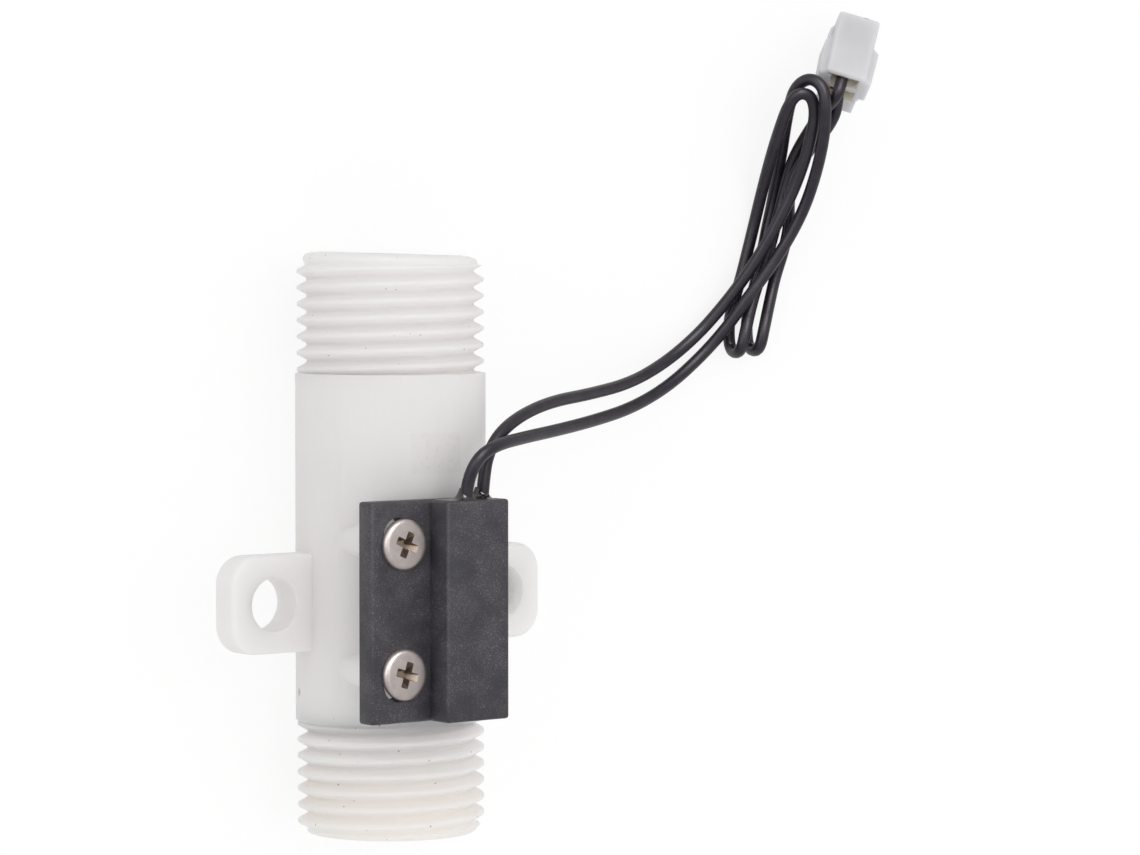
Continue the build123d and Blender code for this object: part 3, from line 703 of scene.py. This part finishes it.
# %% Helpers for materials
class Finish:
    """A material with its Principled shader and its Object coordinates at hand."""

    def __init__(self, name, roughness=0.5, metallic=0.0):
        self.material = bpy.data.materials.new(name)
        self.material.use_nodes = True
        self.tree = self.material.node_tree
        self.shader = self.tree.nodes["Principled BSDF"]
        self.shader.inputs["Roughness"].default_value = roughness
        self.shader.inputs["Metallic"].default_value = metallic
        self.place = self.tree.nodes.new("ShaderNodeTexCoord").outputs["Object"]

    def node(self, kind, **settings):
        made = self.tree.nodes.new(kind)
        for key, value in settings.items():
            setattr(made, key, value)
        return made

    def link(self, start, end):
        self.tree.links.new(start, end)

    def noise(self, scale, detail=2.0, roughness=0.5):
        """Cloudy noise, scale in cells a metre."""
        made = self.node("ShaderNodeTexNoise")
        made.inputs["Scale"].default_value = scale
        made.inputs["Detail"].default_value = detail
        made.inputs["Roughness"].default_value = roughness
        self.link(self.place, made.inputs["Vector"])
        return made.outputs["Fac"]

    def ramp(self, value, low, high, colour_low=(0, 0, 0), colour_high=(1, 1, 1)):
        """Maps a value between two stops to two colours."""
        made = self.node("ShaderNodeValToRGB")
        first, last = made.color_ramp.elements
        first.position, last.position = low, high
        first.color, last.color = (*colour_low, 1), (*colour_high, 1)
        self.link(value, made.inputs["Fac"])
        return made.outputs["Color"]

    def mix(self, factor, one, two):
        """One colour where the factor is 0, the other where it is 1. A colour may be a socket."""
        made = self.node("ShaderNodeMix", data_type="RGBA")
        for socket, value in ((made.inputs[0], factor), (made.inputs[6], one), (made.inputs[7], two)):
            if isinstance(value, bpy.types.NodeSocket):
                self.link(value, socket)
            else:
                socket.default_value = value if isinstance(value, float) else (*value, 1)
        return made.outputs[2]

    def math(self, kind, one, two):
        made = self.node("ShaderNodeMath", operation=kind)
        for socket, value in zip(made.inputs, (one, two)):
            if isinstance(value, bpy.types.NodeSocket):
                self.link(value, socket)
            else:
                socket.default_value = value
        return made.outputs[0]

    def own(self, name):
        """A number that the piece's mesh carries under a name."""
        return self.node("ShaderNodeAttribute", attribute_name=name).outputs["Fac"]

    def local(self, place, turn, size):
        """Coordinates about a place in metres, turned and measured in sizes of its own."""
        made = self.node("ShaderNodeMapping", vector_type="TEXTURE")
        made.inputs["Location"].default_value = place
        made.inputs["Rotation"].default_value = turn
        made.inputs["Scale"].default_value = size
        self.link(self.place, made.inputs["Vector"])
        return made.outputs["Vector"]

    def distance(self, vector):
        made = self.node("ShaderNodeVectorMath", operation="LENGTH")
        self.link(vector, made.inputs[0])
        return made.outputs["Value"]

    def split(self, vector):
        """The three numbers of a vector."""
        parts = self.node("ShaderNodeSeparateXYZ")
        self.link(vector, parts.inputs[0])
        return parts.outputs[0], parts.outputs[1], parts.outputs[2]

    def reach(self, one, two):
        """How far from nought two numbers lie together."""
        made = self.node("ShaderNodeCombineXYZ")
        self.link(one, made.inputs[0])
        self.link(two, made.inputs[1])
        return self.distance(made.outputs[0])

    def within_one(self, number):
        """1 where a number lies between -1 and 1, and 0 elsewhere."""
        return self.math("LESS_THAN", self.math("ABSOLUTE", number, 0.0), 1.0)

    def colour(self, socket):
        self.link(socket, self.shader.inputs["Base Color"])

    def bump(self, height, strength, distance):
        made = self.node("ShaderNodeBump")
        made.inputs["Strength"].default_value = strength
        made.inputs["Distance"].default_value = distance
        self.link(height, made.inputs["Height"])
        self.link(made.outputs["Normal"], self.shader.inputs["Normal"])


# %% [markdown]
# ### White moulded plastic
# The tube is milky and lets light through, which softens its shade: even the thread's grooves stay
# bright. Its colour drifts very slightly. The threads hold small dark specks, and the inlet's end is
# creamier. The wall of the right ear's hole is painted paler, a painted light for the light that comes
# through the ear there. A faint dusty patch lies above the block, and a small red-brown spot on the
# tube's left side.

# %% Tube plastic
def tube_finish():
    finish = Finish("tube_plastic", 0.55)
    shader = finish.shader
    shader.inputs["Subsurface Weight"].default_value = 0.9
    shader.inputs["Subsurface Radius"].default_value = (0.0056, 0.0055, 0.0054)
    shader.inputs["Subsurface Scale"].default_value = 1.0
    shader.inputs["Specular IOR Level"].default_value = 0.18
    cloud = finish.noise(120.0, 3.0)
    tone = finish.ramp(cloud, 0.3, 0.7, (0.86, 0.835, 0.825), (0.875, 0.85, 0.84))

    thread_start, inlet_y = 18.8, -32.0
    x, y, z = finish.split(finish.local(tube_axis, (0, 0, 0), (MM, MM, MM)))
    threads = finish.math("GREATER_THAN", finish.math("ABSOLUTE", y, 0.0), thread_start)
    towards_inlet = finish.ramp(finish.math("DIVIDE", y, inlet_y), 0.6, 1.0)
    tone = finish.mix(finish.math("MULTIPLY", towards_inlet, 0.6), tone, (0.885, 0.82, 0.75))

    # Painted light: the wall of the right ear's hole is painted paler, for light that comes through the
    # ear.
    right_ear_hole = lie @ (Vector((15.7, -6.3, -1.9)) * MM)
    hole_size = (0.00305, 0.00305, 0.0019)
    x, y, z = finish.split(finish.local(right_ear_hole, lie.to_euler(), hole_size))
    in_hole = finish.math("MULTIPLY", finish.within_one(finish.reach(x, y)), finish.within_one(z))
    tone = finish.mix(in_hole, tone, (0.97, 0.95, 0.93))

    for cells, size, least, colour in (
        (900.0, 0.05, 0.72, (0.3, 0.2, 0.12)), (640.0, 0.032, 0.8, (0.06, 0.05, 0.04)),
    ):
        dots = finish.node("ShaderNodeTexVoronoi", feature="F1")
        dots.inputs["Scale"].default_value = cells
        finish.link(finish.place, dots.inputs["Vector"])
        near = finish.ramp(dots.outputs["Distance"], size, size * 2.2, (1, 1, 1), (0, 0, 0))
        split = finish.node("ShaderNodeSeparateColor")
        finish.link(dots.outputs["Color"], split.inputs[0])
        chosen = finish.math("GREATER_THAN", split.outputs[0], least)
        mask = finish.math("MULTIPLY", finish.math("MULTIPLY", near, chosen), threads)
        tone = finish.mix(mask, tone, colour)

    patch_place, patch_size = (0.0031, 0.0103, 0.0210), (0.0031, 0.0022, 0.004)
    x, y, z = finish.split(finish.local(patch_place, (0, math.radians(13), 0), patch_size))
    on_patch = finish.math("MULTIPLY", finish.within_one(x), finish.within_one(y))
    dusty = finish.ramp(finish.noise(1900.0, 3.0, 0.7), 0.52, 0.68)
    tone = finish.mix(finish.math("MULTIPLY", on_patch, 0.13), tone, (0.76, 0.73, 0.69))
    dust = finish.math("MULTIPLY", finish.math("MULTIPLY", on_patch, dusty), 0.24)
    tone = finish.mix(dust, tone, (0.62, 0.57, 0.5))
    spot_place, spot_size = (-0.00998, -0.0165, 0.0107), (0.0003, 0.0006, 0.0006)
    spot = finish.distance(finish.local(spot_place, (0, 0, 0), spot_size))
    tone = finish.mix(finish.ramp(spot, 0.2, 1.0, (0.7, 0.7, 0.7), (0, 0, 0)), tone, (0.42, 0.22, 0.17))
    finish.colour(tone)
    finish.bump(finish.noise(2600.0, 2.0), 0.08, 0.0001)
    return finish.material


# %% [markdown]
# ### Black plastic of the block
# A fine grain with light specks, and a slight cloudiness where dust has settled.

# %% Block plastic
def block_finish():
    finish = Finish("block_plastic", 0.47)
    finish.shader.inputs["Specular IOR Level"].default_value = 0.45
    grain = finish.noise(6800.0, 4.0, 0.7)
    cloud = finish.noise(260.0, 3.0, 0.6)
    dust = finish.ramp(cloud, 0.4, 0.72, (0.024, 0.0215, 0.029), (0.050, 0.046, 0.056))
    light = finish.math("MULTIPLY", finish.ramp(grain, 0.54, 0.72), finish.ramp(cloud, 0.3, 0.58))
    finish.colour(finish.mix(light, dust, (0.24, 0.215, 0.225)))
    finish.bump(grain, 0.5, 0.0001)
    return finish.material


# %% [markdown]
# ### Epoxy, wire sleeve and plug plastic
# The epoxy is glossy black and a little brown where it is thin. The wires' sleeve is soft and almost
# black. The plug is milky like the tube but thinner and cooler. A small dark blue-grey patch at its nose is
# painted shadow.

# %% Epoxy, wire sleeve and plug plastic
def epoxy_finish():
    finish = Finish("epoxy", 0.14)
    finish.shader.inputs["Coat Weight"].default_value = 0.3
    cloud = finish.noise(900.0, 3.0)
    finish.colour(finish.ramp(cloud, 0.45, 0.8, (0.012, 0.012, 0.013), (0.05, 0.04, 0.03)))
    finish.bump(finish.noise(1300.0, 2.0), 0.15, 0.0002)
    return finish.material


def sleeve_finish():
    finish = Finish("wire_insulation", 0.4)
    finish.shader.inputs["Specular IOR Level"].default_value = 0.35
    cloud = finish.noise(700.0, 3.0)
    finish.colour(finish.ramp(cloud, 0.3, 0.7, (0.013, 0.009, 0.016), (0.024, 0.019, 0.028)))
    finish.bump(finish.noise(3000.0, 2.0), 0.12, 0.00006)
    return finish.material


def plug_finish():
    finish = Finish("plug_plastic", 0.5)
    finish.shader.inputs["Specular IOR Level"].default_value = 0.3
    finish.shader.inputs["Subsurface Weight"].default_value = 0.9
    finish.shader.inputs["Subsurface Radius"].default_value = (0.0018, 0.0018, 0.0018)
    finish.shader.inputs["Subsurface Scale"].default_value = 1.0
    tone = finish.ramp(finish.noise(400.0, 3.0), 0.3, 0.7, (0.64, 0.635, 0.66), (0.68, 0.675, 0.70))
    # Painted light: faces in the openings are painted a pale cream, for light through the thin walls.
    tone = finish.mix(finish.own("inside"), tone, (0.95, 0.88, 0.78))
    # Painted shadow: a small dark blue-grey patch at the nose's top front edge.
    nose_shadow_place, nose_shadow_size = plug_lie @ (Vector((8.6, -0.75, 3.6)) * MM), (0.00022, 0.00045, 0.00022)
    nose_shadow = finish.distance(finish.local(nose_shadow_place, plug_lie.to_euler(), nose_shadow_size))
    tone = finish.mix(finish.ramp(nose_shadow, 0.7, 1.1, (1, 1, 1), (0, 0, 0)), tone, (0.09, 0.12, 0.17))
    finish.colour(tone)
    finish.bump(finish.noise(3000.0, 2.0), 0.08, 0.00008)
    return finish.material


# %% [markdown]
# ### Metals and the small inner pieces
# The screws are nickel plated, and their recess is painted a darker brown-grey, as painted shade. The
# retainer and its ring show in the outlet and the piston's face in the inlet. The other inner pieces are
# hidden, but each still
# gets the finish of its own stuff: acetal, ferrite, spring wire, glass, solder.

# %% Metals and inner pieces
def metal_finish(name, colour_low, colour_high, roughness, grain, recess=None):
    finish = Finish(name, roughness, 1.0)
    tone = finish.ramp(finish.noise(grain, 4.0, 0.6), 0.3, 0.7, colour_low, colour_high)
    # Painted shade: the faces marked inside, in a recess, take the darker colour given for it.
    if recess:
        tone = finish.mix(finish.own("inside"), tone, recess)
    finish.colour(tone)
    finish.bump(finish.noise(grain * 3, 3.0), 0.08, 0.00006)
    return finish.material


def plain_finish(name, colour_low, colour_high, roughness, grain):
    finish = Finish(name, roughness)
    finish.colour(finish.ramp(finish.noise(grain, 3.0), 0.3, 0.7, colour_low, colour_high))
    finish.bump(finish.noise(grain * 4, 2.0), 0.1, 0.00006)
    return finish.material


def glass_finish():
    finish = Finish("reed_glass", 0.03)
    finish.shader.inputs["Transmission Weight"].default_value = 0.9
    finish.shader.inputs["IOR"].default_value = 1.5
    finish.colour(finish.ramp(finish.noise(500.0), 0.3, 0.7, (0.66, 0.8, 0.72), (0.72, 0.84, 0.78)))
    return finish.material


finishes = {
    "tube_plastic": tube_finish(),
    "block_plastic": block_finish(),
    "epoxy": epoxy_finish(),
    "wire_insulation": sleeve_finish(),
    "plug_plastic": plug_finish(),
    "screw_metal": metal_finish(
        "screw_metal", (0.40, 0.355, 0.34), (0.49, 0.44, 0.425), 0.42, 900.0, recess=(0.27, 0.22, 0.18)
    ),
    "contact_metal": metal_finish("contact_metal", (0.62, 0.55, 0.42), (0.74, 0.68, 0.56), 0.3, 900.0),
    "spring_steel": metal_finish("spring_steel", (0.5, 0.5, 0.5), (0.62, 0.62, 0.62), 0.3, 900.0),
    "reed_metal": metal_finish("reed_metal", (0.55, 0.52, 0.48), (0.65, 0.62, 0.58), 0.3, 900.0),
    "solder": metal_finish("solder", (0.5, 0.5, 0.5), (0.65, 0.65, 0.65), 0.4, 700.0),
    "piston_plastic": plain_finish("piston_plastic", (0.8, 0.8, 0.78), (0.86, 0.86, 0.84), 0.4, 500.0),
    "magnet": plain_finish("magnet", (0.06, 0.06, 0.065), (0.12, 0.12, 0.125), 0.55, 900.0),
    "sleeve": plain_finish("sleeve", (0.8, 0.78, 0.7), (0.86, 0.84, 0.77), 0.5, 500.0),
    "reed_glass": glass_finish(),
}
print("finishes:", len(finishes))

# %% Finishes on the carried-over solids
inner_finishes = {
    "terminal_front": "contact_metal", "terminal_rear": "contact_metal",
    "piston": "piston_plastic", "piston_magnet": "magnet", "piston_cap": "piston_plastic",
    "return_spring": "spring_steel", "spring_retainer": "piston_plastic", "retaining_ring": "spring_steel",
    "reed_glass": "reed_glass", "reed_blade_upper": "reed_metal", "reed_blade_lower": "reed_metal",
    "lead_sleeve": "sleeve", "solder_joint_front": "solder", "solder_joint_rear": "solder",
}
for name, finish_name in inner_finishes.items():
    nodes[name].data.materials.clear()
    nodes[name].data.materials.append(finishes[finish_name])
print("dressed solids:", len(inner_finishes))

# %% [markdown]
# ## Which piece moves with which body
# All of the new pieces belong to the meter's body. The piston inside it keeps its own solids.

# %% Ride and replace
for piece, finish_name, replaced in (
    (flow_tube, "tube_plastic", "flow_body"),
    (sensor_block, "block_plastic", "sensor_housing"),
    (upper_screw, "screw_metal", "screw_upper"),
    (lower_screw, "screw_metal", "screw_lower"),
    (epoxy_collar, "epoxy", "potting_compound"),
    (small_plug, "plug_plastic", "plug_housing"),
    (front_wire, "wire_insulation", "wire_front"),
    (rear_wire, "wire_insulation", "wire_rear"),
):
    piece.data.materials.clear()
    piece.data.materials.append(finishes[finish_name])
    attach(piece, "meter_body")
    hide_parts(replaced)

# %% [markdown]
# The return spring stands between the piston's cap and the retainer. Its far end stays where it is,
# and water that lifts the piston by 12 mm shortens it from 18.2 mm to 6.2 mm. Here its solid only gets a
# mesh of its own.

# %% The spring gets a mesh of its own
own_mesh(nodes["return_spring"])

# %% [markdown]
# ## Floor and light
# The sensor lies on plain white, in soft light from all sides, as in a light tent. The world gives
# most of it, and one large lamp above adds a slight direction. Two more lamps light no matt surface:
# they only put a sheen on the wires, the epoxy and the screws. The floor answers camera, mirror and
# glass rays mostly with plain white, so the ground looks white and still keeps a soft shadow. It needs
# only two plain shaders for that, so the Principled one of its finish is taken out.

# %% Floor
floor_half_size, share_of_glow = 3.0, 0.8
floor_mesh = bmesh.new()
bmesh.ops.create_grid(floor_mesh, x_segments=1, y_segments=1, size=floor_half_size)
floor = finish_piece("floor", floor_mesh)
floor_finish = Finish("floor_white")
floor_finish.tree.nodes.remove(floor_finish.shader)
rays = floor_finish.node("ShaderNodeLightPath").outputs
seen = floor_finish.math("MAXIMUM", rays["Is Camera Ray"], rays["Is Glossy Ray"])
seen = floor_finish.math("MAXIMUM", seen, rays["Is Transmission Ray"])
glow_share = floor_finish.math("MULTIPLY", seen, share_of_glow)
matt = floor_finish.node("ShaderNodeBsdfDiffuse")
matt.inputs["Color"].default_value = (0.92, 0.92, 0.92, 1)
glow = floor_finish.node("ShaderNodeEmission")
glow.inputs["Color"].default_value = (1, 1, 1, 1)
glow.inputs["Strength"].default_value = 1.04
blend = floor_finish.node("ShaderNodeMixShader")
for socket, start in zip(blend.inputs, (glow_share, matt.outputs[0], glow.outputs[0])):
    floor_finish.link(start, socket)
output = floor_finish.tree.nodes["Material Output"]
floor_finish.link(blend.outputs[0], output.inputs["Surface"])
floor.data.materials.append(floor_finish.material)
print("share of plain white that the camera sees in the ground:", share_of_glow)

# %% World and lamps
tent_light, extra_for_camera = 0.84, 0.16
world = bpy.data.worlds.new("light_tent")
world.use_nodes = True
sky = world.node_tree.nodes["Background"]
sky.inputs["Color"].default_value = (1, 1, 1, 1)
sky.inputs["Strength"].default_value = tent_light
rays = world.node_tree.nodes.new("ShaderNodeLightPath")
brighter = world.node_tree.nodes.new("ShaderNodeMath")
brighter.operation = "MULTIPLY_ADD"
brighter.inputs[1].default_value = extra_for_camera
brighter.inputs[2].default_value = tent_light
world.node_tree.links.new(rays.outputs["Is Camera Ray"], brighter.inputs[0])
world.node_tree.links.new(brighter.outputs[0], sky.inputs["Strength"])
bpy.context.scene.world = world


def soft_lamp(name, place, aim, size, power):
    """A large square lamp that faces a point."""
    data = bpy.data.lights.new(name, "AREA")
    data.shape = "SQUARE"
    data.size = size
    data.energy = power
    lamp = bpy.data.objects.new(name, data)
    bpy.context.scene.collection.objects.link(lamp)
    lamp.location = place
    lamp.rotation_euler = (Vector(aim) - Vector(place)).to_track_quat("-Z", "Y").to_euler()
    return lamp


soft_lamp("upper_lamp", (0.25, 0.1, 1.0), (0.01, 0, 0), 0.6, 1.4)
for name, place, power in (
    ("far_strip", (0.0, 0.75, 0.8), 13.0), ("left_strip", (-0.8, 0.3, 0.6), 4.0),
):
    strip = soft_lamp(name, place, (0.03, 0.02, 0), 0.7, power)
    strip.visible_diffuse = False
print("lamps:", len(bpy.data.lights))

bpy.context.scene.view_settings.view_transform = "Standard"

# %% [markdown]
# ## The end

# %% Finish
bpy.context.view_layer.update()
